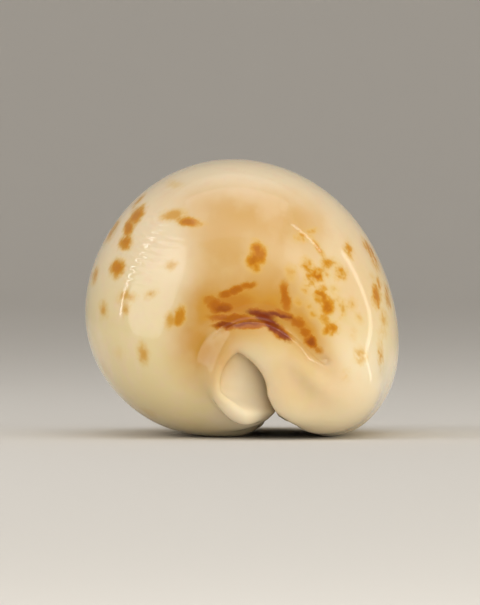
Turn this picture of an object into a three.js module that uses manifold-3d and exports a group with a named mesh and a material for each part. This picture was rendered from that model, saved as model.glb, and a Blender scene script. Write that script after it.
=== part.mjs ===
// A large cowrie shell, resting on its base.
//
// The shell is one grown solid: a swollen body whorl with a thin back, thick rounded
// margins and a thick base, hollow inside, and entered from below by a long narrow slit
// between two rolled lips. At each end the slit runs out through a short canal.
//
// Units are millimetres. +Z is up through the back, +Y points to the front (anterior)
// end, -Y to the spire (posterior) end, and +X to the outer lip's side. The origin is
// the middle of the footprint.
//
// The outside and the hollow are each written as a signed field, negative inside. A net of
// points laid on a field's zero surface gives a closed mesh. The hollow is cut out of the
// outside, and a flat foot is cut off below at Z = 0.

import * as THREE from 'three';
import { mergeVertices } from 'three/addons/utils/BufferGeometryUtils.js';
import Module from 'manifold-3d';

// ---- Driving dimensions (mm) ----

// Radii of the widest cross-section about its hub, evenly spaced round the turn from +X.
const GIRTH = [24.3, 24.0, 25.3, 26.2, 25.4, 24.3, 21.4, 18.2, 19.5, 24.6];
const HUB_Z = 17.0;
const GIRTH_Y = -5.0;           // where along the shell the widest section lies
const BACK_END = -33.1;         // spire end of the plain body
const FRONT_END = 33.3;         // front end of the plain body
const POLE_BLEND = 15.0;        // the section turns round inside this radius of the hub
const TOP_FULLNESS = [2.2, 2.03]; // exponent of the back's profile, spire half and front half
const LOW_FULLNESS = [3.5, 3.1];  // the same along the base, where the shell is blunter
const BASE_Z = -1.45;           // plane that the belly is pressed against
const BASE_ROUND = 4.0;

const SLIT_X = 5.6;             // middle of the slit
const SLIT_HALF = 1.45;
const SLIT_TOP = 11.0;          // roof of the slit where it doesn't open into the hollow
const LIP_ROUND = [11.5, 14.5];  // how far the inner and outer lips roll into the slit
const LIP_ROUND_ENDS = [2.2, 1.6]; // the same at the ends of the shell

const BACK_WALL = 2.9;          // wall over the back
const HOLLOW_CENTRE = [0.4, -3.0, 23.5];
const HOLLOW_RADII = [24.8, 32.0, 19.2];

// Raised and sunken lines at the ends. Each row is x, y, z and the radius there.
const SPIRE_COLLAR = [
  [4.4, -20.0, 5.4, 1.0], [4.0, -25.0, 5.0, 1.6], [3.1, -29.6, 4.4, 2.0], [1.4, -31.8, 3.9, 2.1],
  [-1.2, -32.5, 5.4, 2.1], [-2.9, -32.6, 8.4, 2.1], [-2.8, -32.5, 11.8, 2.2], [-0.8, -32.3, 14.8, 2.6],
  [2.4, -32.1, 15.0, 2.8], [5.6, -31.4, 13.4, 3.0], [8.4, -29.8, 10.8, 3.0],
];
const LIP_RIDGE = [
  [4.8, -32.2, 14.6, 1.0], [7.6, -33.3, 12.4, 1.3], [10.0, -33.6, 10.2, 1.3],
  [12.2, -32.9, 8.2, 1.2], [14.4, -31.0, 6.6, 1.0], [16.4, -27.6, 5.4, 0.5],
];
const OUTER_RIM = [
  [1.8, -31.8, 14.6, 1.8], [3.4, -32.1, 12.4, 2.0], [4.8, -32.2, 10.2, 2.1], [5.7, -32.2, 7.8, 2.1],
  [6.6, -31.8, 6.0, 2.0], [7.9, -31.2, 5.0, 1.9], [9.8, -30.2, 4.9, 1.8], [12.2, -28.0, 5.0, 1.5],
  [14.4, -25.0, 5.4, 0.8],
];
const FRONT_COLLAR = [
  [2.4, 14.0, 5.6, 0.8], [0.6, 21.0, 4.8, 1.6], [-1.4, 27.0, 4.6, 2.2], [-2.9, 30.4, 6.0, 2.5],
  [-2.6, 31.9, 8.6, 2.6], [0.0, 32.3, 10.8, 2.6], [2.6, 32.3, 11.4, 2.6], [5.2, 31.9, 10.4, 2.6],
  [7.2, 30.8, 8.0, 2.6], [8.0, 28.4, 5.6, 2.5], [8.2, 24.0, 4.6, 2.0], [8.2, 17.0, 4.8, 1.0],
];
// The crease over the spire follows the body: x, z, radius and how far out its middle lies.
const SPIRE_CREASE = [
  [-8.0, 12.0, 0.2, 1.4], [-6.0, 15.0, 0.5, 0.9], [-3.0, 17.2, 0.9, 0.5], [1.5, 18.4, 1.3, 0.3],
  [5.5, 17.6, 1.2, 0.3], [9.0, 15.2, 0.8, 0.6], [12.5, 12.0, 0.4, 1.2],
];
// Swelling of the outer lip's end.
const LOBE_CENTRE = [11.2, -24.2, 8.5];
const LOBE_RADII = [9.6, 9.6, 7.4];

// Net spacing: position and spacing there, graded between, finest round the slit and ends.
const SHELL_STEPS = [
  [[-28, 3.6], [-6, 1.35], [10, 1.35], [28, 3.4]],
  [[-37.1, 1.1], [-28, 1.4], [-15, 3.4], [20, 3.6], [30, 1.7], [38, 1.5]],
  [[-3, 1.2], [14, 1.35], [25, 3.6], [47, 3.4]],
];
const HOLLOW_STEPS = [
  [[-28, 3.8], [28, 3.8]],
  [[-36, 3.8], [32, 3.8]],
  [[0, 3.2], [46, 3.2]],
];

// ---- Smooth joins ----

function smoothMin(a, b, k) {
  const h = Math.max(k - Math.abs(a - b), 0) / k;
  return Math.min(a, b) - (h * h * h * k) / 6;
}

function smoothMax(a, b, k) {
  return -smoothMin(-a, -b, k);
}

function ease(t) {
  const c = Math.min(Math.max(t, 0), 1);
  return c * c * c * (c * (6 * c - 15) + 10);
}

function mix(a, b, t) {
  return a + (b - a) * t;
}

// 0 to 1, flat at the start and still rising at the end.
function slopeIn(t) {
  const c = Math.min(Math.max(t, 0), 1);
  return c * c * (2 - c);
}

// ---- The body ----

// Smooth closed outline through the girth radii, as a short sum of waves round the turn.
const WAVES = [];
for (let k = 0; k <= GIRTH.length / 2; k++) {
  const share = (k === 0 || 2 * k === GIRTH.length ? 1 : 2) / GIRTH.length;
  let cos = 0;
  let sin = 0;
  GIRTH.forEach((radius, i) => {
    const turn = (2 * Math.PI * i * k) / GIRTH.length;
    cos += share * radius * Math.cos(turn);
    sin += share * radius * Math.sin(turn);
  });
  WAVES.push([cos, sin]);
}
const MEAN_RADIUS = WAVES[0][0];

function girthRadius(angle) {
  let radius = 0;
  WAVES.forEach(([cos, sin], k) => {
    radius += cos * Math.cos(k * angle) + sin * Math.sin(k * angle);
  });
  return radius;
}

// How far out a point lies in the section, 1 on the outline, and the body's fullness there.
function section(x, z, back) {
  const up = z - HUB_Z;
  const radius = Math.hypot(x, up) + 1e-9;
  const turned = ease(radius / POLE_BLEND);
  const reach = mix(MEAN_RADIUS, girthRadius(Math.atan2(up, x)), turned);
  const low = 0.5 * (1 - (up / radius) * turned);
  const half = back ? 0 : 1;
  return {
    out: radius / reach,
    fullness: mix(TOP_FULLNESS[half], LOW_FULLNESS[half], low * low),
  };
}

function halfLength(back) {
  return back ? GIRTH_Y - BACK_END : FRONT_END - GIRTH_Y;
}

function body(x, y, z) {
  const back = y < GIRTH_Y;
  const { out, fullness } = section(x, z, back);
  const along = Math.abs(y - GIRTH_Y) / halfLength(back);
  const gauge = Math.pow(Math.pow(out, fullness) + Math.pow(along, fullness), 1 / fullness);
  return Math.hypot(x, y - GIRTH_Y, z - HUB_Z) * (1 - 1 / Math.max(gauge, 1e-6));
}

// Y of the body's surface on its spire end, above the point x, z of the section.
function spireEndY(x, z) {
  const { out, fullness } = section(x, z, true);
  const depth = Math.pow(1 - Math.pow(Math.min(out, 0.96), fullness), 1 / fullness);
  return GIRTH_Y - halfLength(true) * depth;
}

// ---- Ridges, creases and lobes ----

// Rows of x, y, z and radius, as points along the smooth curve through them.
function smoothRows(rows, stepsEach = 6) {
  const ends = rows.map(([x, y, z]) => new THREE.Vector3(x, y, z));
  const places = new THREE.CatmullRomCurve3(ends, false, 'catmullrom', 0.5);
  const points = [];
  const last = (rows.length - 1) * stepsEach;
  for (let i = 0; i <= last; i++) {
    const row = Math.min(Math.floor(i / stepsEach), rows.length - 2);
    const radius = mix(rows[row][3], rows[row + 1][3], i / stepsEach - row);
    const place = places.getPoint(i / last);
    points.push([place.x, place.y, place.z, radius]);
  }
  return points;
}

const collar = smoothRows(SPIRE_COLLAR);
const ridge = smoothRows(LIP_RIDGE);
const outerRim = smoothRows(OUTER_RIM);
const frontCollar = smoothRows(FRONT_COLLAR);
const crease = smoothRows(SPIRE_CREASE.map(([x, z, radius, out]) => [x, spireEndY(x, z) - out, z, radius]));

function tube(x, y, z, points) {
  let nearest = Infinity;
  for (let i = 0; i + 1 < points.length; i++) {
    const [ax, ay, az, ar] = points[i];
    const [bx, by, bz, br] = points[i + 1];
    const dx = bx - ax;
    const dy = by - ay;
    const dz = bz - az;
    const dot = (x - ax) * dx + (y - ay) * dy + (z - az) * dz;
    const t = Math.min(Math.max(dot / (dx * dx + dy * dy + dz * dz), 0), 1);
    const away = Math.hypot(x - ax - t * dx, y - ay - t * dy, z - az - t * dz);
    nearest = Math.min(nearest, away - mix(ar, br, t));
  }
  return nearest;
}

function ellipsoid(x, y, z, centre, radii) {
  const px = (x - centre[0]) / radii[0];
  const py = (y - centre[1]) / radii[1];
  const pz = (z - centre[2]) / radii[2];
  const size = Math.hypot(px, py, pz) + 1e-9;
  return (size * (size - 1)) / (Math.hypot(px / radii[0], py / radii[1], pz / radii[2]) + 1e-9);
}

// ---- The slit ----

// On the spire end the slit bends behind the outer lip. Its inner wall opens as a scoop with
// a sill below it, and both walls flare apart on the underside.
function slitWalls(y, z) {
  const outerEnd = 3.75 - 0.11 * Math.max(z - 7.4, 0) ** 2 + 0.42 * Math.max(6.8 - z, 0);
  const scoopEdge = -3.2 + 0.1 * (Math.max(z, 6) - 8.6) ** 2;
  const scoop = mix(SLIT_X - SLIT_HALF, scoopEdge, slopeIn((-y - 29.0) / 4.7));
  const sill = mix(5.4, 1.6, slopeIn((-y - 27.0) / 7.4));
  const low = ease((8.0 - z) / 5.0) * ease((-y - 22.0) / 5.0);
  const front = ease((y - 8) / 24);
  const flare = ease((-y - 18.0) / 10.0) * Math.max(4.2 - z, 0);
  const outer = mix(SLIT_X + SLIT_HALF, outerEnd, ease((-y - 29.8) / 3.6));
  return {
    outer: outer - 1.6 * front + 0.5 * flare,
    inner: mix(scoop - 4.0 * front, sill, low) - 0.8 * flare,
  };
}

function slit(x, y, z, walls) {
  const top = SLIT_TOP + 3.4 * ease((-y - 25) / 8) - 2.6 * ease((y - 20) / 12);
  const arch = 2.5 + 2.0 * ease((-y - 25) / 8);
  const between = smoothMax(walls.inner - x, x - walls.outer, 0.8);
  return smoothMax(between, z - top, arch);
}

// ---- The outside, with the slit, and the hollow ----

function outside(x, y, z) {
  let field = smoothMax(body(x, y, z), BASE_Z - z, BASE_ROUND);
  if (y < -16) {
    field = smoothMin(field, ellipsoid(x, y, z, LOBE_CENTRE, LOBE_RADII), 6.0);
    field = smoothMax(field, -tube(x, y, z, crease), 2.6);
    field = smoothMin(field, tube(x, y, z, collar), mix(2.6, 4.6, ease((z - 5) / 5)));
    field = smoothMin(field, tube(x, y, z, outerRim), 5.0);
    field = smoothMin(field, tube(x, y, z, ridge), 2.2);
  }
  if (y > 16) {
    field = smoothMin(field, tube(x, y, z, frontCollar), 4.0);
  }
  const walls = slitWalls(y, z);
  const middle = 1 - ease((Math.abs(y + 2) - 18) / 12);
  const outerSide = ease((x - 0.5 * (walls.inner + walls.outer)) / 2 + 0.5);
  const innerLip = LIP_ROUND_ENDS[0] + 1.4 * ease((7 - z) / 4);
  const endLip = mix(innerLip, LIP_ROUND_ENDS[1], outerSide);
  const lip = mix(endLip, mix(LIP_ROUND[0], LIP_ROUND[1], outerSide), middle);
  return smoothMax(field, -slit(x, y, z, walls), lip);
}

function hollow(x, y, z) {
  return smoothMax(ellipsoid(x, y, z, HOLLOW_CENTRE, HOLLOW_RADII), body(x, y, z) + BACK_WALL, 2.0);
}

// ---- A net on a surface ----

function gradedSteps(marks) {
  const steps = [marks[0][0]];
  let mark = 0;
  while (steps[steps.length - 1] < marks[marks.length - 1][0]) {
    const here = steps[steps.length - 1];
    while (mark < marks.length - 2 && here >= marks[mark + 1][0]) {
      mark += 1;
    }
    const [from, to] = [marks[mark], marks[mark + 1]];
    steps.push(here + mix(from[1], to[1], (here - from[0]) / (to[0] - from[0])));
  }
  return steps;
}

const CELL_CORNERS = [0, 1, 2, 3, 4, 5, 6, 7].map((n) => [n & 1, (n >> 1) & 1, n >> 2]);

// One point in each cell that the surface crosses, at the mean of its edge crossings.
function netPoints(steps, values, index) {
  const ids = new Int32Array(values.length).fill(-1);
  const points = [];
  for (let i = 0; i + 1 < steps[0].length; i++) {
    for (let j = 0; j + 1 < steps[1].length; j++) {
      for (let k = 0; k + 1 < steps[2].length; k++) {
        const sum = [0, 0, 0];
        let crossings = 0;
        for (const corner of CELL_CORNERS) {
          for (let axis = 0; axis < 3; axis++) {
            if (corner[axis] === 1) {
              continue;
            }
            const far = corner.slice();
            far[axis] = 1;
            const a = values[index(i + corner[0], j + corner[1], k + corner[2])];
            const b = values[index(i + far[0], j + far[1], k + far[2])];
            if (a < 0 === b < 0) {
              continue;
            }
            const t = a / (a - b);
            sum[0] += mix(steps[0][i + corner[0]], steps[0][i + far[0]], t);
            sum[1] += mix(steps[1][j + corner[1]], steps[1][j + far[1]], t);
            sum[2] += mix(steps[2][k + corner[2]], steps[2][k + far[2]], t);
            crossings += 1;
          }
        }
        if (crossings > 0) {
          ids[index(i, j, k)] = points.length;
          points.push(sum.map((value) => value / crossings));
        }
      }
    }
  }
  return { ids, points };
}

// Moves a net point on to the surface itself, along the field's slope.
function settle(point, form) {
  const reach = 0.02;
  for (let round = 0; round < 4; round++) {
    const here = form(...point);
    const slope = [0, 1, 2].map((axis) => {
      const beside = point.slice();
      beside[axis] += reach;
      return (form(...beside) - here) / reach;
    });
    const steep = slope[0] ** 2 + slope[1] ** 2 + slope[2] ** 2;
    const move = Math.min(Math.max(here / Math.max(steep, 0.25), -0.3), 0.3);
    for (let axis = 0; axis < 3; axis++) {
      point[axis] -= slope[axis] * move;
    }
  }
}

// Two triangles for each grid edge that crosses the surface, split on the shorter diagonal.
function netTriangles(steps, values, index, ids, points) {
  const triangles = [];
  const apart = (a, b) => Math.hypot(...points[a].map((value, n) => value - points[b][n]));
  for (let axis = 0; axis < 3; axis++) {
    const [across, over] = [(axis + 1) % 3, (axis + 2) % 3];
    const at = [0, 0, 0];
    for (at[0] = 0; at[0] < steps[0].length; at[0]++) {
      for (at[1] = 0; at[1] < steps[1].length; at[1]++) {
        for (at[2] = 0; at[2] < steps[2].length; at[2]++) {
          if (at[axis] + 1 >= steps[axis].length || at[across] < 1 || at[over] < 1) {
            continue;
          }
          const next = at.slice();
          next[axis] += 1;
          const inside = values[index(...at)] < 0;
          if (inside === values[index(...next)] < 0) {
            continue;
          }
          const corners = [[1, 1], [0, 1], [0, 0], [1, 0]].map(([a, o]) => {
            const cell = at.slice();
            cell[across] -= a;
            cell[over] -= o;
            return ids[index(...cell)];
          });
          if (!inside) {
            corners.reverse();
          }
          const [p, q, r, s] = corners;
          if (apart(p, r) < apart(q, s)) {
            triangles.push(p, q, r, p, r, s);
          } else {
            triangles.push(p, q, s, q, r, s);
          }
        }
      }
    }
  }
  return triangles;
}

function netOf(form, marks) {
  const steps = marks.map(gradedSteps);
  const [, ny, nz] = steps.map((list) => list.length);
  const index = (i, j, k) => (i * ny + j) * nz + k;
  const values = new Float64Array(steps[0].length * ny * nz);
  steps[0].forEach((x, i) => {
    steps[1].forEach((y, j) => {
      steps[2].forEach((z, k) => {
        values[index(i, j, k)] = form(x, y, z);
      });
    });
  });
  const { ids, points } = netPoints(steps, values, index);
  points.forEach((point) => settle(point, form));
  return { positions: points.flat(), triangles: netTriangles(steps, values, index, ids, points) };
}

// ---- The solid ----

const wasm = await Module();
wasm.setup();

function solidOf({ positions, triangles }) {
  return new wasm.Manifold(new wasm.Mesh({
    numProp: 3,
    vertProperties: new Float32Array(positions),
    triVerts: new Uint32Array(triangles),
  }));
}

// Everything below the ground that the shell rests on.
function groundBlock() {
  const block = new THREE.BoxGeometry(200, 200, 50).translate(0, 0, -25);
  block.deleteAttribute('normal');
  block.deleteAttribute('uv');
  const merged = mergeVertices(block);
  return { positions: merged.getAttribute('position').array, triangles: merged.index.array };
}

const whole = solidOf(netOf(outside, SHELL_STEPS));
const hollowed = whole.subtract(solidOf(netOf(hollow, HOLLOW_STEPS)));
const solid = hollowed.subtract(solidOf(groundBlock())).getMesh();

const geometry = new THREE.BufferGeometry();
geometry.setAttribute('position', new THREE.BufferAttribute(solid.vertProperties, 3));
geometry.setIndex(new THREE.BufferAttribute(solid.triVerts, 1));
geometry.computeVertexNormals();

const enamel = new THREE.MeshStandardMaterial({ color: 0xecd3a6, roughness: 0.18, metalness: 0.0 });
const shell = new THREE.Mesh(geometry, enamel);
shell.name = 'shell';

const cowrie = new THREE.Group();
cowrie.name = 'cowrie_shell';
cowrie.add(shell);

export default cowrie;
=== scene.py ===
"""A large cowrie shell resting on its base, seen from its spire end.

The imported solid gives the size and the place. This script makes the finished shell around
it: the fine wall, the enamel with its blotches, and the teeth along both lips of the slit.
Lengths are in millimetres until a mesh is made, and in metres in Blender.
"""
import math

import bpy
import numpy as np
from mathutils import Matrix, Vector


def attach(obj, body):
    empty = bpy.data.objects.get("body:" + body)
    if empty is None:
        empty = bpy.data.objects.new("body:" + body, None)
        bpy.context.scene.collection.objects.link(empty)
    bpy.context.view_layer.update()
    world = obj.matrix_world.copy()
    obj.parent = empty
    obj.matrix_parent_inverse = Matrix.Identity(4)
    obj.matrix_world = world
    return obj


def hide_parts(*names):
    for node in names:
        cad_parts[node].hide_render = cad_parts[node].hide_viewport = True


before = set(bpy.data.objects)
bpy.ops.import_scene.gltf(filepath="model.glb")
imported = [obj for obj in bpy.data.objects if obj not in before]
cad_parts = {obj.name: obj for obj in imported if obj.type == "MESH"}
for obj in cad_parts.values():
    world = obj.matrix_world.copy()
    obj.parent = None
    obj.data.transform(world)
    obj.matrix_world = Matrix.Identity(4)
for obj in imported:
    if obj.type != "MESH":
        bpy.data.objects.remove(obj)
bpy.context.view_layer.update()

MM = 0.001


# ---- Shell wall ----
# The shell is one grown solid of layered lime: a swollen back 3 mm thick, thick rounded
# margins and base, and a hollow that a long narrow slit enters from below. The animal lays
# the last layers from outside, over the old spire and round both ends of the slit.

# Radii of the widest cross-section about its hub, evenly spaced round the turn from +X.
GIRTH = np.array([24.3, 24.0, 25.3, 26.2, 25.4, 24.3, 21.4, 18.2, 19.5, 24.6])
HUB_Z = 17.0
GIRTH_Y = -5.0
BACK_END, FRONT_END = -33.1, 33.3
POLE_BLEND = 15.0
TOP_FULLNESS = (2.2, 2.03)
LOW_FULLNESS = (3.5, 3.1)
BASE_Z, BASE_ROUND = -1.45, 4.0

SLIT_X, SLIT_HALF, SLIT_TOP = 5.6, 1.45, 11.0
LIP_ROUND = (11.5, 14.5)
LIP_ROUND_ENDS = (2.2, 1.6)

BACK_WALL = 2.9
HOLLOW_CENTRE = (0.4, -3.0, 23.5)
HOLLOW_RADII = (24.8, 32.0, 19.2)
HOLLOW_ROUND, MOUTH_ROUND, FOOT_ROUND = 2.0, 1.5, 0.3

# Raised and sunken lines at the ends: x, y, z and the radius there.
SPIRE_COLLAR = (
    (4.4, -20.0, 5.4, 1.0), (4.0, -25.0, 5.0, 1.6), (3.1, -29.6, 4.4, 2.0),
    (1.4, -31.8, 3.9, 2.1), (-1.2, -32.5, 5.4, 2.1), (-2.9, -32.6, 8.4, 2.1),
    (-2.8, -32.5, 11.8, 2.2), (-0.8, -32.3, 14.8, 2.6), (2.4, -32.1, 15.0, 2.8),
    (5.6, -31.4, 13.4, 3.0), (8.4, -29.8, 10.8, 3.0),
)
LIP_RIDGE = (
    (4.8, -32.2, 14.6, 1.0), (7.6, -33.3, 12.4, 1.3), (10.0, -33.6, 10.2, 1.3),
    (12.2, -32.9, 8.2, 1.2), (14.4, -31.0, 6.6, 1.0), (16.4, -27.6, 5.4, 0.5),
)
OUTER_RIM = (
    (1.8, -31.8, 14.6, 1.8), (3.4, -32.1, 12.4, 2.0), (4.8, -32.2, 10.2, 2.1),
    (5.7, -32.2, 7.8, 2.1), (6.6, -31.8, 6.0, 2.0), (7.9, -31.2, 5.0, 1.9),
    (9.8, -30.2, 4.9, 1.8), (12.2, -28.0, 5.0, 1.5), (14.4, -25.0, 5.4, 0.8),
)
FRONT_COLLAR = (
    (2.4, 14.0, 5.6, 0.8), (0.6, 21.0, 4.8, 1.6), (-1.4, 27.0, 4.6, 2.2),
    (-2.9, 30.4, 6.0, 2.5), (-2.6, 31.9, 8.6, 2.6), (0.0, 32.3, 10.8, 2.6),
    (2.6, 32.3, 11.4, 2.6), (5.2, 31.9, 10.4, 2.6), (7.2, 30.8, 8.0, 2.6),
    (8.0, 28.4, 5.6, 2.5), (8.2, 24.0, 4.6, 2.0), (8.2, 17.0, 4.8, 1.0),
)
# The crease over the spire follows the body: x, z, radius and how far out its middle lies.
SPIRE_CREASE = (
    (-8.0, 12.0, 0.2, 1.4), (-6.0, 15.0, 0.5, 0.9), (-3.0, 17.2, 0.9, 0.5),
    (1.5, 18.4, 1.3, 0.3), (5.5, 17.6, 1.2, 0.3), (9.0, 15.2, 0.8, 0.6),
    (12.5, 12.0, 0.4, 1.2),
)
LOBE_CENTRE, LOBE_RADII = (11.2, -24.2, 8.5), (9.6, 9.6, 7.4)
ENDS_FROM = 16.0            # the raised and sunken lines lie past this, along Y

# Mesh spacing before subdivision: position and spacing there, graded between.
WALL_STEPS = (
    ((-26.0, 1.36), (-8.0, 0.8), (14.0, 0.8), (27.0, 1.36)),
    ((-38.0, 0.64), (-27.0, 0.8), (-14.0, 1.46), (20.0, 1.46), (30.0, 0.84), (38.0, 0.72)),
    ((-1.5, 0.74), (16.0, 0.8), (26.0, 1.46), (45.0, 1.36)),
)
SETTLE_ROUNDS = 3
LINING_FROM, LINING_FADE = 0.3, 1.2


def smooth_min(a, b, k):
    h = np.maximum(k - np.abs(a - b), 0.0) / k
    return np.minimum(a, b) - h**3 * k / 6.0


def smooth_max(a, b, k):
    return -smooth_min(-a, -b, k)


def ease(t):
    t = np.clip(t, 0.0, 1.0)
    return t**3 * (t * (6.0 * t - 15.0) + 10.0)


def mix(a, b, t):
    return a + (b - a) * t


def slope_in(t):
    """0 to 1, flat at the start and still rising at the end."""
    t = np.clip(t, 0.0, 1.0)
    return t * t * (2.0 - t)


def girth_radius(turn):
    """Smooth closed outline through the girth radii, as a short sum of waves."""
    steps = 2.0 * math.pi * np.arange(len(GIRTH)) / len(GIRTH)
    total = np.zeros_like(turn)
    for k in range(len(GIRTH) // 2 + 1):
        share = (1.0 if k == 0 or 2 * k == len(GIRTH) else 2.0) / len(GIRTH)
        total += share * np.sum(GIRTH * np.cos(k * steps)) * np.cos(k * turn)
        total += share * np.sum(GIRTH * np.sin(k * steps)) * np.sin(k * turn)
    return total


def section(x, z, back):
    """How far out a point lies in the section, 1 on the outline, and the fullness there."""
    up = z - HUB_Z
    radius = np.hypot(x, up) + 1e-9
    turned = ease(radius / POLE_BLEND)
    reach = mix(GIRTH.mean(), girth_radius(np.arctan2(up, x)), turned)
    low = 0.5 * (1.0 - up / radius * turned)
    top = np.where(back, *TOP_FULLNESS)
    return radius / reach, mix(top, np.where(back, *LOW_FULLNESS), low * low)


def body(x, y, z):
    back = y < GIRTH_Y
    half = np.where(back, GIRTH_Y - BACK_END, FRONT_END - GIRTH_Y)
    out, fullness = section(x, z, back)
    gauge = (out**fullness + (np.abs(y - GIRTH_Y) / half) ** fullness) ** (1.0 / fullness)
    reach = np.sqrt(x * x + (y - GIRTH_Y) ** 2 + (z - HUB_Z) ** 2)
    return reach * (1.0 - 1.0 / np.maximum(gauge, 1e-6))


def spire_end_y(x, z):
    out, fullness = section(x, z, np.ones(np.shape(x), bool))
    depth = (1.0 - np.minimum(out, 0.96) ** fullness) ** (1.0 / fullness)
    return GIRTH_Y - (GIRTH_Y - BACK_END) * depth


def smooth_rows(rows, steps_each=6):
    """Points along the smooth curve through the rows."""
    rows = np.array(rows, float)
    ends = np.vstack([2 * rows[0] - rows[1], rows, 2 * rows[-1] - rows[-2]])
    points = []
    for a, b, c, d in zip(ends, ends[1:], ends[2:], ends[3:]):
        for t in np.linspace(0.0, 1.0, steps_each, endpoint=False):
            bend = 2 * a - 5 * b + 4 * c - d
            twist = 3 * b - a - 3 * c + d
            points.append(0.5 * (2 * b + (c - a) * t + bend * t**2 + twist * t**3))
    return np.array(points + [rows[-1]])


def on_spire_end(rows):
    rows = smooth_rows(rows)
    x, z, radius, out = rows.T
    return np.column_stack([x, spire_end_y(x, z) - out, z, radius])


def tube(x, y, z, points):
    nearest = np.full(np.shape(x), np.inf)
    for a, b in zip(points, points[1:]):
        d = b[:3] - a[:3]
        dot = (x - a[0]) * d[0] + (y - a[1]) * d[1] + (z - a[2]) * d[2]
        t = np.clip(dot / (d @ d), 0.0, 1.0)
        away2 = (x - a[0] - t * d[0]) ** 2 + (y - a[1] - t * d[1]) ** 2
        away2 += (z - a[2] - t * d[2]) ** 2
        nearest = np.minimum(nearest, np.sqrt(away2) - mix(a[3], b[3], t))
    return nearest


def ellipsoid(x, y, z, centre, radii):
    p = [(v - c) / r for v, c, r in zip((x, y, z), centre, radii)]
    size = np.sqrt(sum(v * v for v in p)) + 1e-9
    slope = np.sqrt(sum((v / r) ** 2 for v, r in zip(p, radii))) + 1e-9
    return size * (size - 1.0) / slope


def slit_walls(y, z):
    """X of the slit's inner and outer wall, which bend behind the outer lip at the spire."""
    outer_end = 3.75 - 0.11 * np.maximum(z - 7.4, 0.0) ** 2 + 0.42 * np.maximum(6.8 - z, 0.0)
    scoop_edge = -3.2 + 0.1 * (np.maximum(z, 6.0) - 8.6) ** 2
    scoop = mix(SLIT_X - SLIT_HALF, scoop_edge, slope_in((-y - 29.0) / 4.7))
    sill = mix(5.4, 1.6, slope_in((-y - 27.0) / 7.4))
    low = ease((8.0 - z) / 5.0) * ease((-y - 22.0) / 5.0)
    front = ease((y - 8.0) / 24.0)
    flare = ease((-y - 18.0) / 10.0) * np.maximum(4.2 - z, 0.0)
    outer = mix(SLIT_X + SLIT_HALF, outer_end, ease((-y - 29.8) / 3.6)) - 1.6 * front
    return mix(scoop - 4.0 * front, sill, low) - 0.8 * flare, outer + 0.5 * flare


collar = smooth_rows(SPIRE_COLLAR)
ridge = smooth_rows(LIP_RIDGE)
outer_rim = smooth_rows(OUTER_RIM)
front_collar = smooth_rows(FRONT_COLLAR)
crease = on_spire_end(SPIRE_CREASE)


def outside(x, y, z):
    field = smooth_max(body(x, y, z), BASE_Z - z, BASE_ROUND)
    at = y < -ENDS_FROM
    if at.any():
        p = x[at], y[at], z[at]
        end = smooth_min(field[at], ellipsoid(*p, LOBE_CENTRE, LOBE_RADII), 6.0)
        end = smooth_max(end, -tube(*p, crease), 2.6)
        end = smooth_min(end, tube(*p, collar), mix(2.6, 4.6, ease((p[2] - 5.0) / 5.0)))
        end = smooth_min(end, tube(*p, outer_rim), 5.0)
        field[at] = smooth_min(end, tube(*p, ridge), 2.2)
    at = y > ENDS_FROM
    if at.any():
        field[at] = smooth_min(field[at], tube(x[at], y[at], z[at], front_collar), 4.0)
    inner, outer = slit_walls(y, z)
    top = SLIT_TOP + 3.4 * ease((-y - 25.0) / 8.0) - 2.6 * ease((y - 20.0) / 12.0)
    arch = 2.5 + 2.0 * ease((-y - 25.0) / 8.0)
    slit = smooth_max(smooth_max(inner - x, x - outer, 0.8), z - top, arch)
    middle = 1.0 - ease((np.abs(y + 2.0) - 18.0) / 12.0)
    outer_side = ease((x - 0.5 * (inner + outer)) / 2.0 + 0.5)
    inner_lip = LIP_ROUND_ENDS[0] + 1.4 * ease((7.0 - z) / 4.0)
    end_lip = mix(inner_lip, LIP_ROUND_ENDS[1], outer_side)
    lip = mix(end_lip, mix(*LIP_ROUND, outer_side), middle)
    return smooth_max(field, -slit, lip)


def hollow(x, y, z):
    room = ellipsoid(x, y, z, HOLLOW_CENTRE, HOLLOW_RADII)
    return smooth_max(room, body(x, y, z) + BACK_WALL, HOLLOW_ROUND)


def shell_form(x, y, z):
    """Signed distance-like field of the whole shell, negative in the lime."""
    wall = smooth_max(outside(x, y, z), -hollow(x, y, z), MOUTH_ROUND)
    return smooth_max(wall, -z, FOOT_ROUND)


def graded_steps(marks):
    places, spacing = zip(*marks)
    steps = [places[0]]
    while steps[-1] < places[-1]:
        steps.append(steps[-1] + np.interp(steps[-1], places, spacing))
    return np.array(steps)


CORNERS = [(i, j, k) for i in (0, 1) for j in (0, 1) for k in (0, 1)]
UNIT = np.eye(3, dtype=int)


def cell_edges():
    """Each cell edge by the axis it lies along, as its near and far corners."""
    edges = []
    for axis in range(3):
        across, over = UNIT[(axis + 1) % 3], UNIT[(axis + 2) % 3]
        for near in (0 * across, across, over, across + over):
            edges.append((tuple(near), tuple(near + UNIT[axis])))
    return edges


CELL_EDGES = cell_edges()


def sheets_in_cell(code):
    """For one pattern of corners inside, which separate sheet of surface cuts each edge."""
    inside = {corner: code >> n & 1 for n, corner in enumerate(CORNERS)}
    sheet = {edge: n for n, edge in enumerate(CELL_EDGES) if inside[edge[0]] != inside[edge[1]]}
    for axis in range(3):
        for side in (0, 1):
            cut = [edge for edge in sheet if edge[0][axis] == side == edge[1][axis]]
            joined = [cut] if len(cut) == 2 else []
            if len(cut) == 4:
                joined = [[e for e in cut if c in e] for c in CORNERS if c[axis] == side and inside[c]]
            for one, other in joined:
                keep, drop = sheet[one], sheet[other]
                sheet = {edge: keep if n == drop else n for edge, n in sheet.items()}
    names = sorted(set(sheet.values()))
    return [names.index(sheet[edge]) if edge in sheet else 0 for edge in CELL_EDGES], len(names)


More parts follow.
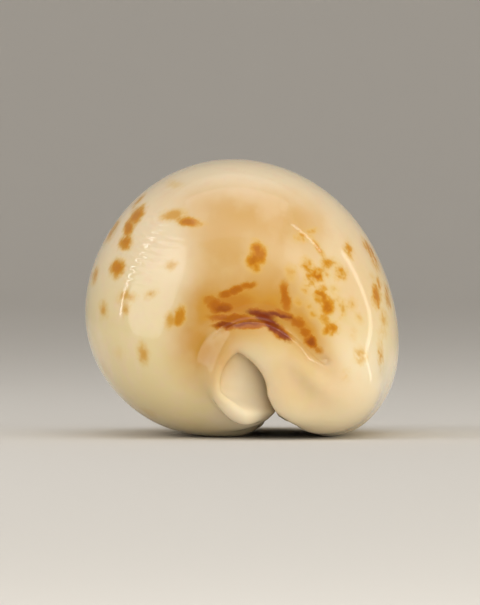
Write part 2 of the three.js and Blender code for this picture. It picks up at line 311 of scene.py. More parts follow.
def surface_net(form, marks):
    """Closed net of quads on the form's zero surface: a point for each sheet in a cell."""
    steps = [graded_steps(m) for m in marks]
    values = form(*np.meshgrid(*steps, indexing="ij"))
    inside = values < 0.0
    cells = tuple(n - 1 for n in values.shape)
    code = sum(
        inside[i : cells[0] + i, j : cells[1] + j, k : cells[2] + k].astype(int) << n
        for n, (i, j, k) in enumerate(CORNERS)
    )
    active = (code > 0) & (code < 255)
    sheets, counts = zip(*[sheets_in_cell(n) for n in range(256)])
    counts = np.array(counts)[code[active]]
    first = np.cumsum(counts) - counts
    ids = np.full(cells + (12,), -1)
    ids[active] = first[:, None] + np.array(sheets)[code[active]]
    cell = np.argwhere(active)
    total, crossings = np.zeros((counts.sum(), 3)), np.zeros(counts.sum())
    for n, (near, far) in enumerate(CELL_EDGES):
        axis = n // 4
        near, far = cell + near, cell + far
        a, b = values[tuple(near.T)], values[tuple(far.T)]
        hit = (a < 0.0) != (b < 0.0)
        point = np.column_stack([steps[m][near[:, m]] for m in range(3)])[hit]
        step = (steps[axis][far[:, axis]] - steps[axis][near[:, axis]])[hit]
        point[:, axis] += (a / np.where(hit, a - b, 1.0))[hit] * step
        owner = ids[active][hit, n]
        np.add.at(total, owner, point)
        np.add.at(crossings, owner, 1.0)
    quads = []
    for axis in range(3):
        across, over = UNIT[[(axis + 1) % 3, (axis + 2) % 3]]
        last = np.take(inside, range(1, values.shape[axis]), axis)
        outward = np.take(inside, range(values.shape[axis] - 1), axis)
        edge = np.argwhere(outward != last)
        edge = edge[(edge @ across > 0) & (edge @ over > 0)]
        offsets = ((across + over, 3), (over, 2), (0 * across, 0), (across, 1))
        quad = np.column_stack([ids[(*(edge - o).T, 4 * axis + n)] for o, n in offsets])
        inward = ~outward[tuple(edge.T)]
        quad[inward] = quad[inward][:, ::-1]
        quads.append(quad)
    return total / crossings[:, None], np.concatenate(quads)


def slope_of(form, points, reach=0.02):
    here = form(*points.T)
    beside = [form(*(points + step).T) for step in reach * np.eye(3)]
    return here, (np.stack(beside, 1) - here[:, None]) / reach


def settle(form, points, rounds):
    """Moves points on to the form's surface, along its slope."""
    for _ in range(rounds):
        here, slope = slope_of(form, points)
        steep = np.maximum(np.sum(slope**2, 1), 0.05)
        points = points - slope * np.clip(here / steep, -0.5, 0.5)[:, None]
    return points


def mesh_object(name, points, faces, edges=()):
    mesh = bpy.data.meshes.new(name)
    mesh.from_pydata(points * MM, edges, faces)
    piece = bpy.data.objects.new(name, mesh)
    bpy.context.scene.collection.objects.link(piece)
    return piece


def applied(piece):
    """Makes the piece's modifiers part of its mesh."""
    ready = piece.evaluated_get(bpy.context.evaluated_depsgraph_get())
    mesh = bpy.data.meshes.new_from_object(ready)
    piece.modifiers.clear()
    piece.data = mesh


def points_of(piece):
    flat = np.empty(len(piece.data.vertices) * 3)
    piece.data.vertices.foreach_get("co", flat)
    return flat.reshape(-1, 3) / MM


shell = mesh_object("cowrie_shell", *surface_net(shell_form, WALL_STEPS))
rounding = shell.modifiers.new("rounding", "SUBSURF")
rounding.levels = rounding.render_levels = 1
applied(shell)
points = settle(shell_form, points_of(shell), SETTLE_ROUNDS)
points[:, 2] = np.maximum(points[:, 2], 0.0)
shell.data.vertices.foreach_set("co", (points * MM).ravel())
shell.data.shade_smooth()

# 1 on the wall of the hollow, 0 outside.
lining = ease((-outside(*points.T) - LINING_FROM) / LINING_FADE)


# ---- Enamel ----
# The outer layer is glossy lime enamel, cream with peach and amber clouds. Colour glands
# in the animal's mantle left blotches on it, dense on the outer lip's side, and a dark
# stain over the old spire. Later clear layers cover them, so their edges are soft.

CREAM = (219, 201, 152)
FACING_Y = -4.0             # the marks listed below lie on the part that faces the spire end
DAB_DEPTH = 2.6             # how far a blotch reaches along Y, in its own half lengths
UNMARKED = -9.0
STAIN_SOFTNESS, DARK_LINE_SOFTNESS = 0.7, 0.75


def paint(red, green, blue):
    """Screen colour, 0 to 255, as the linear colour that shaders take."""
    parts = [v / 255.0 for v in (red, green, blue)]
    return [v / 12.92 if v <= 0.04045 else ((v + 0.055) / 1.055) ** 2.4 for v in parts] + [1.0]


class Tree:
    """Short calls for adding nodes to a node tree."""

    def __init__(self, tree):
        self.tree = tree

    def put(self, kind, sockets=None, **settings):
        node = self.tree.nodes.new(kind)
        for key, value in settings.items():
            setattr(node, key, value)
        for key, value in (sockets or {}).items():
            if isinstance(value, bpy.types.NodeSocket):
                self.tree.links.new(value, node.inputs[key])
            else:
                node.inputs[key].default_value = value
        return node

    def math(self, operation, *values):
        return self.put("ShaderNodeMath", dict(enumerate(values)), operation=operation).outputs[0]

    def smooth(self, value, low, high, start=0.0, end=1.0):
        sockets = {0: value, 1: low, 2: high, 3: start, 4: end}
        return self.put("ShaderNodeMapRange", sockets, interpolation_type="SMOOTHSTEP").outputs[0]

    def noise(self, place, size, detail=2.0, rough=0.5, kind="Fac"):
        sockets = {"Vector": place, "Scale": 1.0 / size, "Detail": detail, "Roughness": rough}
        return self.put("ShaderNodeTexNoise", sockets).outputs[kind]

    def blend(self, amount, under, over):
        node = self.put("ShaderNodeMix", {0: amount}, data_type="RGBA")
        for socket, value in ((node.inputs[6], under), (node.inputs[7], over)):
            if isinstance(value, bpy.types.NodeSocket):
                self.tree.links.new(value, socket)
            else:
                socket.default_value = value
        return node.outputs[2]


def dabs_group(name, dabs, softness):
    """Node group: how far a place on the spire end is covered by any of the dabs.

    A dab is x, z, half length, half width, turn in degrees and strength. It lies on the
    surface as if dabbed on along Y.
    """
    group = bpy.data.node_groups.new(name, "ShaderNodeTree")
    group.interface.new_socket("Place", in_out="INPUT", socket_type="NodeSocketVector")
    group.interface.new_socket("Cover", in_out="OUTPUT", socket_type="NodeSocketFloat")
    tree = Tree(group)
    place = tree.put("NodeGroupInput").outputs["Place"]
    cover = None
    for x, z, length, width, turn, strength in dabs:
        sockets = {
            "Vector": place,
            "Location": (x, 0.0, z),
            "Rotation": (0.0, -math.radians(turn), 0.0),
            "Scale": (length, 1000.0, width),
        }
        local = tree.put("ShaderNodeMapping", sockets, vector_type="TEXTURE").outputs[0]
        away = tree.put("ShaderNodeVectorMath", {0: local}, operation="LENGTH").outputs["Value"]
        dab = tree.smooth(away, 1.0 + softness, 1.0 - softness, 0.0, strength)
        cover = dab if cover is None else tree.math("MAXIMUM", cover, dab)
    tree.tree.links.new(cover, tree.put("NodeGroupOutput").inputs["Cover"])
    return group


def place_on_dab(points, dab):
    """How far along and across a dab each point lies, 1 at its rim."""
    dab_x, dab_z, length, width, turn, _ = dab
    along, up = math.cos(math.radians(turn)), math.sin(math.radians(turn))
    x, z = points[:, 0] - dab_x, points[:, 2] - dab_z
    return (x * along + z * up) / length, (z * along - x * up) / width


def dab_depths(points, dabs):
    """How deep each point lies within each dab, in mm, below 0 outside it."""
    y = points[:, 1]
    depths = []
    for dab in dabs:
        dab_x, dab_z, length, width = dab[:4]
        u, v = place_on_dab(points, dab)
        w = (y - spire_end_y(np.array(dab_x), np.array(dab_z))) / (DAB_DEPTH * max(length, width))
        depths.append((1.0 - np.sqrt(u * u + v * v + w * w)) * math.sqrt(length * width))
    return np.where(y < FACING_Y, np.array(depths), UNMARKED)


def store(name, values):
    shell.data.attributes.new(name, "FLOAT", "POINT").data.foreach_set("value", values)


# Broad clouds of peach and gold, and one row of painted shade in the canal. Each row is x, z, half
# length, half width, turn, strength.
CLOUDS_AND_CANAL_SHADE = (
    (0.5, 34.8, 9.0, 3.4, -6, 1.0), (7.0, 33.0, 5.0, 3.4, -20, 0.8), (-4.0, 29.5, 4.0, 5.0, 20, 0.8),
    (12.0, 24.0, 9.0, 10.0, 60, 0.4), (0.0, 26.5, 5.0, 5.5, 0, 0.85), (6.0, 24.0, 3.0, 4.0, 0, 0.5),
    # The last row here is painted shade, darkening the canal's hollow a little.
    (9.0, 9.0, 6.0, 4.0, -40, 0.5), (17.0, 8.0, 4.0, 3.0, -40, 0.25), (0.5, 9.5, 2.4, 3.4, 0, 0.2),
)
# Painted light: paler patches on the lips, in the canal's hollow and low on the right, and a painted
# sheen on the left shoulder.
PAINTED_LIGHT_DABS = (
    (19.0, 9.0, 6.0, 7.0, 20, 0.9), (0.5, 3.0, 4.5, 2.4, 0, 0.8), (0.8, 9.0, 3.4, 4.6, 0, 0.95),
    (10.0, 2.5, 6.0, 2.6, 0, 0.7), (-9.5, 20.0, 2.6, 6.0, 10, 0.4),
)
# Glow round the spire stain.
GLOW = (
    (-5.8, 14.4, 4.4, 5.6, 0, 1.0), (0.5, 19.9, 8.5, 4.2, -8, 0.95),
    (8.5, 16.9, 5.5, 2.6, -42, 0.85), (-4.5, 19.9, 3.4, 3.6, 0, 0.7),
    (6.5, 21.4, 2.4, 4.2, 10, 0.5), (12.0, 13.0, 4.0, 1.6, -45, 0.45),
)
# Blotches: left side first, then the middle and the crowded right side.
BLOTCHES = (
    (-16.2, 34.3, 1.6, 0.8, 50, 0.85), (-17.6, 32.2, 1.3, 0.7, 80, 0.85),
    (-17.9, 30.1, 1.0, 1.0, 0, 0.85), (-20.0, 32.3, 2.1, 0.5, 62, 0.75),
    (-16.1, 36.7, 0.9, 0.25, 48, 0.95), (-10.5, 39.1, 1.2, 0.6, -10, 0.35),
    (-10.6, 34.2, 1.8, 0.9, 5, 0.6), (-8.3, 33.3, 2.0, 0.7, -8, 0.9),
    (-10.7, 26.6, 0.9, 0.55, 15, 0.5), (-19.2, 26.1, 1.1, 1.3, -10, 0.85),
    (-22.8, 25.1, 0.5, 1.1, -8, 0.65), (-13.9, 22.3, 0.7, 0.5, 20, 0.6),
    (-18.2, 21.9, 0.6, 1.2, -40, 0.6), (-17.1, 21.8, 0.8, 0.6, 0, 0.6),
    (-17.9, 19.9, 0.6, 1.0, 10, 0.55), (-21.3, 19.7, 0.6, 1.1, 5, 0.6),
    (-9.6, 18.8, 0.8, 1.5, -15, 0.8), (-10.9, 18.2, 1.0, 1.1, 0, 0.6),
    (-15.1, 13.1, 0.8, 1.3, 10, 0.6), (-18.9, 13.1, 0.9, 0.9, 0, 0.25),
    (-21.2, 10.6, 0.5, 1.1, 30, 0.3), (-14.2, 3.8, 1.3, 0.6, -25, 0.3),
    (2.3, 29.2, 0.9, 1.2, 0, 0.95), (1.8, 27.5, 1.0, 1.1, 20, 0.95),
    (2.9, 28.2, 0.8, 1.4, 0, 0.9), (2.2, 26.4, 0.6, 0.6, 0, 0.85),
    (9.4, 30.9, 1.0, 0.8, 25, 0.75), (10.6, 31.8, 0.9, 0.35, 15, 0.6),
    (11.9, 29.0, 2.1, 0.35, -56, 0.65), (13.1, 26.9, 1.1, 0.75, 15, 0.8),
    (16.4, 29.3, 0.55, 1.1, 15, 0.85), (15.1, 25.4, 0.9, 0.9, 20, 0.75),
    (10.2, 26.4, 1.2, 0.7, -50, 0.8), (11.4, 25.1, 1.5, 1.0, 15, 0.95),
    (10.9, 24.4, 0.9, 0.8, 0, 0.8), (7.4, 25.4, 0.9, 1.2, 10, 0.5),
    (12.4, 23.0, 0.6, 0.6, 0, 0.65), (14.0, 23.1, 0.7, 0.45, 20, 0.5),
    (12.0, 21.8, 1.1, 1.0, 0, 0.9), (13.1, 20.1, 1.1, 1.4, -25, 0.95),
    (9.9, 23.1, 0.5, 0.5, 0, 0.6), (8.7, 21.0, 0.7, 0.6, 0, 0.5),
    (10.1, 20.5, 0.5, 1.0, 10, 0.65), (10.9, 19.2, 0.7, 0.7, 0, 0.65),
    (12.7, 18.4, 0.9, 0.8, 0, 0.75), (13.7, 17.0, 1.2, 0.9, 20, 0.85),
    (15.3, 20.2, 0.5, 0.9, 0, 0.6), (16.9, 20.6, 0.6, 0.8, 0, 0.55), (14.5, 21.6, 0.5, 0.6, 0, 0.5),
    (17.9, 18.7, 0.5, 0.7, 20, 0.5), (15.2, 18.9, 0.4, 0.6, 0, 0.45),
    (17.0, 16.0, 0.6, 1.4, 10, 0.3), (17.9, 12.7, 1.2, 1.5, 0, 0.5),
    (21.2, 13.1, 0.4, 1.7, 0, 0.65), (15.7, 9.6, 0.9, 1.1, 0, 0.55),
    (21.9, 18.4, 0.6, 1.1, 10, 0.55), (21.6, 16.2, 0.7, 0.7, 0, 0.4),
    (20.6, 22.0, 0.7, 1.9, 5, 0.85), (21.1, 23.8, 0.6, 0.9, 0, 0.7),
    (22.5, 21.7, 0.4, 1.6, 12, 0.75), (19.9, 28.5, 0.4, 1.9, 30, 0.85),
    (20.6, 26.8, 0.4, 1.5, 28, 0.6), (20.2, 24.6, 0.6, 0.7, 0, 0.4),
)
# The stain over the spire: orange-brown strokes, then the dark lines within them.
STAIN = (
    (-1.6, 20.6, 4.6, 2.2, 8, 0.5), (4.0, 20.0, 2.8, 2.0, -10, 0.42), (9.2, 17.2, 2.6, 1.6, -42, 0.45),
    (-4.9, 21.2, 1.2, 0.9, 0, 0.55), (-4.0, 20.4, 1.4, 1.3, -20, 0.75),
    (-2.5, 22.2, 1.2, 0.8, 30, 0.75), (-1.0, 22.8, 1.6, 0.7, 20, 0.75),
    (0.8, 23.5, 1.5, 0.7, 18, 0.65), (-2.8, 20.3, 1.8, 0.9, 0, 0.8),
    (-1.4, 18.6, 4.2, 0.75, -2, 0.8), (1.5, 17.5, 3.5, 0.6, 4, 0.85),
    (-2.2, 17.5, 2.4, 0.6, 0, 0.9), (3.4, 19.4, 2.8, 0.7, -10, 0.85),
    (6.6, 21.8, 0.8, 2.4, 8, 0.7), (6.6, 19.0, 2.0, 0.8, -30, 0.75),
    (8.6, 17.9, 1.4, 1.0, -30, 0.7), (9.6, 16.5, 1.1, 0.8, -40, 0.7),
    (10.5, 15.1, 1.1, 0.9, -50, 0.9), (11.5, 13.9, 1.0, 0.5, -40, 0.5),
    (5.5, 16.8, 2.6, 0.9, -36, 0.8),
)
DARK_LINES = (
    (3.4, 18.7, 1.6, 0.9, -25, 0.9), (4.6, 17.5, 1.5, 0.75, -38, 1.0),
    (2.0, 19.5, 1.5, 0.4, 0, 0.8), (5.6, 19.0, 2.2, 0.35, -14, 0.75),
    (6.2, 16.1, 1.4, 0.5, -42, 0.8), (-2.6, 17.6, 1.8, 0.45, 3, 0.6),
    (0.6, 17.8, 2.4, 0.4, 6, 0.65), (-3.0, 20.0, 1.2, 0.5, 10, 0.45),
    (10.5, 15.0, 0.6, 0.5, -40, 0.4),
)

enamel = bpy.data.materials.new("enamel")
enamel.use_nodes = True
nodes = Tree(enamel.node_tree)
surface = enamel.node_tree.nodes["Principled BSDF"]

metres = nodes.put("ShaderNodeTexCoord").outputs["Object"]
place = nodes.put("ShaderNodeVectorMath", {0: metres, 3: 1.0 / MM}, operation="SCALE").outputs[0]
axes = nodes.put("ShaderNodeSeparateXYZ", {0: place}).outputs
spire_half = nodes.smooth(axes["Y"], -2.0, -9.0)

# A small wander of the place, so that no edge is a true ellipse.
wander = nodes.noise(place, 1.6, 3.0, 0.6, "Color")
wander = nodes.put("ShaderNodeVectorMath", {0: wander, 1: (0.5, 0.5, 0.5)}, operation="SUBTRACT")
wander = nodes.put("ShaderNodeVectorMath", {0: wander.outputs[0], 3: 1.5}, operation="SCALE")
nearby = nodes.put("ShaderNodeVectorMath", {0: place, 1: wander.outputs[0]}, operation="ADD").outputs[0]


def cover_of(name, dabs, softness):
    group = nodes.put("ShaderNodeGroup", node_tree=dabs_group(name, dabs, softness))
    enamel.node_tree.links.new(nearby, group.inputs["Place"])
    return nodes.math("MULTIPLY", group.outputs["Cover"], spire_half)


def stored(name):
    return nodes.put("ShaderNodeAttribute", attribute_name=name).outputs["Fac"]


def soft_cover(name, dabs):
    """Stores the dabs' summed, soft-edged cover, fading out round the widest section."""
    cover = np.zeros(len(points))
    for dab in dabs:
        covered = dab[5] * (1.0 - ease(0.5 * np.hypot(*place_on_dab(points, dab))))
        cover = 1.0 - (1.0 - cover) * (1.0 - covered)
    store(name, cover * ease((4.0 - points[:, 1]) / 14.0))
    return stored(name)


store("lining", lining)
clouds_and_canal_shade = soft_cover("clouds_and_canal_shade", CLOUDS_AND_CANAL_SHADE)
glow = soft_cover("glow", GLOW)
# Painted light: the paler patches listed above, stored on the shell.
painted_light = soft_cover("painted_light", PAINTED_LIGHT_DABS)
stain = cover_of("spire stain", STAIN, STAIN_SOFTNESS)
dark_lines = cover_of("dark lines", DARK_LINES, DARK_LINE_SOFTNESS)

# Blotches of the other half, scattered over the back down to the margins: large sparse
# ones, and a small crowded kind on the outer lip's side. Each row is how many, the turns
# from +X between which they lie, in degrees, and their least and greatest radius.
FAR_BLOTCHES = (34, (-8.0, 200.0), (0.8, 1.9))
FAR_SPECKS = (60, (0.0, 75.0), (0.4, 1.0))
DROPS = 3
chance = np.random.default_rng(7)


def scattered(count, turns, radii):
    """Places on the body's front half, each with a radius and a strength."""
    turn = np.radians(chance.uniform(*turns, count))
    y = chance.uniform(FACING_Y, FRONT_END - 4.0, count)
    reach = 20.0 * np.sqrt(1.0 - (y / 40.0) ** 2)
    centres = np.column_stack([reach * np.cos(turn), y, HUB_Z + reach * np.sin(turn)])
    radius = chance.uniform(*radii, count)
    strength = chance.uniform(0.4, 0.85, count)
    # Each is a few overlapping drops, so that none is round.
    drift = chance.normal(0.0, 0.55, (DROPS, count, 3)) * radius[None, :, None]
    centres = (centres[None] + drift).reshape(-1, 3)
    return settle(body, centres, 6), np.tile(radius, DROPS) * 0.72, np.tile(strength, DROPS)


far_dabs = [scattered(*FAR_BLOTCHES), scattered(*FAR_SPECKS)]
depth = [dab_depths(points, BLOTCHES)]
strength = [row[5] for row in BLOTCHES]
for centres, radius, strong in far_dabs:
    away = np.linalg.norm(points[None] - centres[:, None], axis=2)
    depth.append(radius[:, None] - away)
    strength.extend(strong)
depth = np.vstack(depth)
nearest = np.argmax(depth, 0)
store("blotch_depth", depth[nearest, np.arange(len(points))])
store("blotch_strength", np.array(strength)[nearest])

ragged = nodes.noise(place, 0.8, 2.0, 0.6)
ragged = nodes.math("MULTIPLY_ADD", ragged, 0.9, -0.4)
uneven = nodes.math("MULTIPLY_ADD", nodes.noise(place, 2.4, 1.0, 0.5), 1.2, -0.6)
deep = nodes.math("ADD", nodes.math("ADD", stored("blotch_depth"), ragged), uneven)
blotches = nodes.math("MULTIPLY", nodes.smooth(deep, -1.1, 0.85), stored("blotch_strength"))
# The crowded ones are broken up by paler gaps.
gaps = nodes.smooth(nodes.noise(place, 1.3, 1.0, 0.5), 0.44, 0.64)
broken = nodes.math("MULTIPLY", gaps, nodes.smooth(axes["X"], 5.0, 10.0, 0.0, 0.35))
blotches = nodes.math("MULTIPLY", blotches, nodes.math("SUBTRACT", 1.0, broken))

# Colour, from the ground up.
cloudy = nodes.noise(place, 9.0, 3.0, 0.55)
fine = nodes.noise(place, 2.2, 3.0, 0.6)
# Painted light: the upper part is made paler and whiter, as if lit from above.
painted_top_light = nodes.smooth(axes["Z"], 14.0, 34.0)
colour = nodes.blend(nodes.math("MULTIPLY", painted_top_light, 0.8), paint(*CREAM), paint(224, 206, 176))
colour = nodes.blend(nodes.math("MULTIPLY", nodes.smooth(cloudy, 0.4, 0.65), 0.6), colour,
                     paint(228, 206, 172))
colour = nodes.blend(nodes.math("MULTIPLY", nodes.smooth(fine, 0.45, 0.75), 0.35), colour,
                     paint(222, 192, 165))
# Painted light: paler cream where those patches lie.
colour = nodes.blend(nodes.math("MULTIPLY", painted_light, 0.8), colour, paint(228, 216, 190))
streaky = nodes.put("ShaderNodeMapping", {"Vector": nearby, "Scale": (0.8, 0.4, 0.55)})
streaks = nodes.smooth(nodes.noise(streaky.outputs[0], 4.2, 2.0, 0.45), 0.3, 0.6, 0.72, 1.0)
# Peach and gold clouds, and painted shade in the canal's hollow.
colour = nodes.blend(nodes.math("MULTIPLY", clouds_and_canal_shade, streaks), colour, paint(198, 156, 88))
colour = nodes.blend(nodes.math("MULTIPLY", glow, streaks), colour, paint(188, 134, 38))


def ramp(value, stops):
    node = nodes.put("ShaderNodeValToRGB", {0: value})
    elements = node.color_ramp.elements
    while len(elements) < len(stops):
        elements.new(0.5)
    for element, (position, shade) in zip(elements, stops):
        element.position = position
        element.color = paint(*shade)
    return node.outputs["Color"]


amber = ramp(blotches, ((0.3, (212, 172, 88)), (0.55, (200, 148, 46)), (0.8, (192, 127, 26)),
                        (1.0, (172, 98, 10))))
colour = nodes.blend(nodes.smooth(blotches, 0.0, 0.75), colour, amber)
brown = ramp(stain, ((0.3, (194, 140, 46)), (0.65, (176, 104, 14)), (1.0, (150, 76, 6))))
colour = nodes.blend(nodes.smooth(stain, 0.05, 0.55), colour, brown)
colour = nodes.blend(nodes.smooth(dark_lines, 0.05, 0.95), colour, paint(122, 44, 2))
colour = nodes.blend(stored("lining"), colour, paint(214, 196, 186))
enamel.node_tree.links.new(colour, surface.inputs["Base Color"])

surface.inputs["Roughness"].default_value = 0.08
surface.inputs["IOR"].default_value = 1.5
surface.inputs["Subsurface Weight"].default_value = 0.25
surface.inputs["Subsurface Radius"].default_value = (1.0, 0.55, 0.3)
surface.inputs["Subsurface Scale"].default_value = 0.0025

waves = nodes.noise(place, 7.0, 1.0, 0.4)
dents = nodes.noise(place, 2.6, 2.0, 0.5)
# Fine growth ripples on one shoulder.
RIPPLES_AT, RIPPLE_PERIOD = (-14.5, -24.0, 28.5), 1.3
shoulder = nodes.put("ShaderNodeVectorMath", {0: place, 1: RIPPLES_AT},
                     operation="DISTANCE").outputs["Value"]
tilted = nodes.math("MULTIPLY_ADD", axes["X"], 0.3, axes["Z"])
tilted = nodes.math("MULTIPLY_ADD", nodes.noise(place, 3.0, 1.0), 1.6, tilted)
ripples = nodes.math("SINE", nodes.math("MULTIPLY", tilted, 2.0 * math.pi / RIPPLE_PERIOD))
ripples = nodes.math("MULTIPLY", ripples, nodes.smooth(shoulder, 9.0, 3.0, 0.0, 0.9))
height = nodes.math("ADD", nodes.math("MULTIPLY_ADD", dents, 0.15, waves), ripples)
bump = nodes.put("ShaderNodeBump", {"Height": height, "Strength": 0.5, "Distance": 0.00006})
enamel.node_tree.links.new(bump.outputs[0], surface.inputs["Normal"])

shell.data.materials.clear()
shell.data.materials.append(enamel)
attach(shell, "root")
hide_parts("shell")


# ---- Outer lip teeth ----
# Short strong ribs of the same enamel, laid across the edge of the outer lip as it
# thickened inwards. They run from just inside the slit on to the rounded margin.

OUTER_TEETH = 22
OUTER_TEETH_FROM, OUTER_TEETH_TO = -21.0, 25.5
OUTER_TEETH_THICK = 0.62
OUTER_TEETH_TURNS, OUTER_TEETH_REACH = (172.0, 248.0), 7.6
TOOTH_POINTS, TOOTH_SIDES = 14, 10
TOOTH_SINK = 0.24
TOOTH_SHIFT = 0.16          # how far a tooth strays from even spacing
HALVINGS = 22


def reached(form, starts, away, far):
    """Where each ray from inside the lime comes out of it."""
    near, beyond = np.zeros(len(starts)), np.full(len(starts), far)
    for _ in range(HALVINGS):
        middle = 0.5 * (near + beyond)
        within = form(*(starts + away * middle[:, None]).T) < 0.0
        near, beyond = np.where(within, middle, near), np.where(within, beyond, middle)
    return starts + away * near[:, None]


def tooth_lines(rows, middle_of, turns, far, lengths):
    """Lines over the lip's surface, one for each row along Y, with their tapering girth."""
    points, girths = [], []
    spread = np.linspace(0.0, 1.0, TOOTH_POINTS)
    for y, length in zip(rows, lengths):
        turn = np.radians(mix(turns[0], mix(turns[0], turns[1], length), spread))
        away = np.column_stack([np.cos(turn), np.zeros(TOOTH_POINTS), np.sin(turn)])
        x, z = middle_of(y)
        starts = np.column_stack([np.full(TOOTH_POINTS, x), y + 0.3 * spread, np.full(TOOTH_POINTS, z)])
        points.append(reached(shell_form, starts, away, far) - TOOTH_SINK * away)
        girths.append(np.maximum(1.0 - np.abs(2.0 * spread - 1.0) ** 2.5, 0.02) ** 0.5)
    count = len(rows)
    order = np.arange(count * TOOTH_POINTS).reshape(count, TOOTH_POINTS)
    edges = np.column_stack([order[:, :-1].ravel(), order[:, 1:].ravel()])
    return np.vstack(points), edges.tolist(), np.concatenate(girths)


def rib_tree():
    """Geometry nodes: a closed round rib along each line, as thick as its girth says."""
    tree = bpy.data.node_groups.new("ribs along lines", "GeometryNodeTree")
    tree.interface.new_socket("Lines", in_out="INPUT", socket_type="NodeSocketGeometry")
    tree.interface.new_socket("Thickness", in_out="INPUT", socket_type="NodeSocketFloat")
    tree.interface.new_socket("Sides", in_out="INPUT", socket_type="NodeSocketInt")
    tree.interface.new_socket("Material", in_out="INPUT", socket_type="NodeSocketMaterial")
    tree.interface.new_socket("Ribs", in_out="OUTPUT", socket_type="NodeSocketGeometry")
    ribs = Tree(tree)
    given = ribs.put("NodeGroupInput").outputs
    girth = ribs.put("GeometryNodeInputNamedAttribute", {"Name": "girth"}, data_type="FLOAT")
    radius = ribs.math("MULTIPLY", girth.outputs[0], given["Thickness"])
    line = ribs.put("GeometryNodeMeshToCurve", {0: given["Lines"]}).outputs[0]
    ring = ribs.put("GeometryNodeCurvePrimitiveCircle",
                    {"Resolution": given["Sides"], "Radius": 1.0}).outputs[0]
    sockets = {"Curve": line, "Profile Curve": ring, "Scale": radius, "Fill Caps": True}
    rib = ribs.put("GeometryNodeCurveToMesh", sockets).outputs[0]
    rib = ribs.put("GeometryNodeSetShadeSmooth", {0: rib}).outputs[0]
    rib = ribs.put("GeometryNodeRealizeInstances", {0: rib}).outputs[0]
    rib = ribs.put("GeometryNodeSetMaterial", {0: rib, "Material": given["Material"]}).outputs[0]
    tree.links.new(rib, ribs.put("NodeGroupOutput").inputs["Ribs"])
    return tree


def toothed(name, lines, thickness):
    """Makes the finished row of teeth along the lines."""
    points, edges, girths = lines
    piece = mesh_object(name, points, (), edges)
    piece.data.attributes.new("girth", "FLOAT", "POINT").data.foreach_set("value", girths)
    ribs = piece.modifiers.new("ribs", "NODES")
    ribs.node_group = ribs_along_lines
    values = {"Thickness": thickness * MM, "Sides": TOOTH_SIDES, "Material": enamel}
    for socket in ribs_along_lines.interface.items_tree:
        if socket.name in values:
            ribs[socket.identifier] = values[socket.name]
    applied(piece)
    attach(piece, "root")


def outer_lip_middle(y):
    return 12.0 - 1.6 * ease((y - 8.0) / 24.0), 4.6


ribs_along_lines = rib_tree()
outer_rows = np.linspace(OUTER_TEETH_FROM, OUTER_TEETH_TO, OUTER_TEETH)
outer_rows += chance.uniform(-TOOTH_SHIFT, TOOTH_SHIFT, OUTER_TEETH)
outer_lengths = chance.uniform(0.82, 1.0, OUTER_TEETH)
outer_lines = tooth_lines(outer_rows, outer_lip_middle, OUTER_TEETH_TURNS, OUTER_TEETH_REACH,
                          outer_lengths)
toothed("outer_lip_teeth", outer_lines, OUTER_TEETH_THICK)


# ---- Inner lip teeth ----
# Finer, shorter ribs of enamel across the edge of the inner lip, grown in the same way.
# They fade out towards the spire end.

INNER_TEETH = 19
INNER_TEETH_FROM, INNER_TEETH_TO = -18.0, 25.0
INNER_TEETH_THICK = 0.5
INNER_TEETH_TURNS, INNER_TEETH_REACH = (24.0, -46.0), 5.2


def inner_lip_middle(y):
    return -0.5 - 1.8 * ease((y - 8.0) / 16.0), 2.6 + 1.6 * ease((y - 10.0) / 14.0)


inner_rows = np.linspace(INNER_TEETH_FROM, INNER_TEETH_TO, INNER_TEETH)
inner_rows += chance.uniform(-TOOTH_SHIFT, TOOTH_SHIFT, INNER_TEETH)
inner_lengths = mix(0.7, 1.0, ease((inner_rows + 18.0) / 20.0))
inner_lengths *= chance.uniform(0.85, 1.0, INNER_TEETH)
inner_lines = tooth_lines(inner_rows, inner_lip_middle, INNER_TEETH_TURNS, INNER_TEETH_REACH,
                          inner_lengths)
toothed("inner_lip_teeth", inner_lines, INNER_TEETH_THICK)


# ---- Floor, light and camera ----
# A pale bowl of paper holds the shell, flat below it and curving up far away.

FLOOR_FLAT, FLOOR_ROUND, FLOOR_HIGH = 1.4, 1.2, 2.6
SIDES, BEND_STEPS = 96, 16

profile = [(0.0, 0.0), (FLOOR_FLAT, 0.0)]
for step in range(1, BEND_STEPS + 1):
    turn = math.radians(90.0 * step / BEND_STEPS)
    profile.append((FLOOR_FLAT + FLOOR_ROUND * math.sin(turn), FLOOR_ROUND * (1 - math.cos(turn))))
profile.append((FLOOR_FLAT + FLOOR_ROUND, FLOOR_HIGH))
bowl_points = [(0.0, 0.0, 0.0)]
for radius, high in profile[1:]:
    for side in range(SIDES):
        turn = 2 * math.pi * side / SIDES
        bowl_points.append((radius * math.cos(turn), radius * math.sin(turn), high))
bowl_faces = [(0, 1 + side, 1 + (side + 1) % SIDES) for side in range(SIDES)]
for row in range(len(profile) - 2):
    for side in range(SIDES):
        a, b = 1 + row * SIDES + side, 1 + row * SIDES + (side + 1) % SIDES
        bowl_faces.append((a, a + SIDES, b + SIDES, b))
floor = mesh_object("floor", np.array(bowl_points) / MM, bowl_faces)
floor.data.shade_smooth()
paper = bpy.data.materials.new("paper")
paper.use_nodes = True
paper_surface = paper.node_tree.nodes["Principled BSDF"]
paper_surface.inputs["Base Color"].default_value = paint(214, 210, 204)
paper_surface.inputs["Roughness"].default_value = 0.9
paper_surface.inputs["Specular IOR Level"].default_value = 0.2
floor.data.materials.append(paper)

world = bpy.data.worlds.new("studio")
bpy.context.scene.world = world
world.use_nodes = True
world.node_tree.nodes["Background"].inputs["Color"].default_value = (1.0, 0.98, 0.95, 1.0)
world.node_tree.nodes["Background"].inputs["Strength"].default_value = 0.64

AIM = Vector((-0.0003, 0.0, 0.0206))


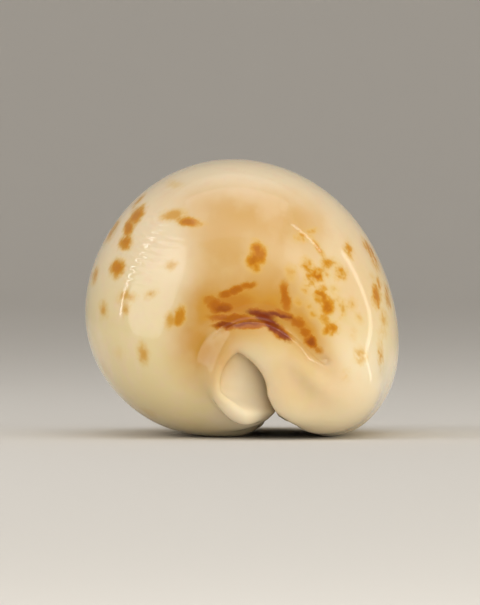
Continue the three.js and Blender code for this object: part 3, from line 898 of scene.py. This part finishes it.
def softbox(name, azimuth, elevation, distance, wide, high, power, tint=(1.0, 1.0, 1.0),
            shape="RECTANGLE"):
    """An area light facing the shell; azimuth 0 is the spire end, 90 the outer lip's side."""
    turn, rise = math.radians(azimuth), math.radians(elevation)
    away = Vector((math.sin(turn) * math.cos(rise), -math.cos(turn) * math.cos(rise), math.sin(rise)))
    light = bpy.data.lights.new(name, "AREA")
    light.shape = shape
    light.size, light.size_y = wide, high
    light.energy = power
    light.color = tint
    lamp = bpy.data.objects.new(name, light)
    bpy.context.scene.collection.objects.link(lamp)
    lamp.location = AIM + away * distance
    lamp.rotation_euler = (-away).to_track_quat("-Z", "Y").to_euler()
    return lamp


softbox("key left", -66, 20, 0.55, 0.46, 0.6, 1.15, shape="ELLIPSE")
softbox("strip left", -97, 26, 0.5, 0.016, 0.36, 0.13)
softbox("strip right", 113, 14, 0.5, 0.045, 0.34, 0.1, (1.0, 0.96, 0.88))
softbox("strip high", 88, 50, 0.5, 0.02, 0.16, 0.04)
softbox("top", 0, 86, 0.7, 0.7, 0.7, 1.05)
fills = (
    softbox("fill front", 8, 10, 0.9, 0.8, 0.28, 3.2, (1.0, 0.98, 0.93)),
    softbox("fill right", 62, 6, 0.7, 0.6, 0.16, 2.6, (1.0, 0.97, 0.88)),
)
for fill in fills:
    fill.visible_glossy = False

PICTURE_WIDE = 0.0748
CAMERA_AWAY, CAMERA_RISE = 1.3, math.radians(0.8)
lens = bpy.data.cameras.new("camera")
lens.sensor_fit = "HORIZONTAL"
lens.sensor_width = 36.0
camera = bpy.data.objects.new("camera", lens)
bpy.context.scene.collection.objects.link(camera)
aim_back = Vector((0.0, -math.cos(CAMERA_RISE), math.sin(CAMERA_RISE)))
girth_place = Vector((AIM.x, GIRTH_Y * MM, AIM.z))
camera.location = girth_place + aim_back * CAMERA_AWAY
camera.rotation_euler = (-aim_back).to_track_quat("-Z", "Y").to_euler()
lens.lens = lens.sensor_width * CAMERA_AWAY / PICTURE_WIDE
lens.clip_start, lens.clip_end = 0.01, 20.0
bpy.context.scene.camera = camera
bpy.context.scene.view_settings.view_transform = "Standard"
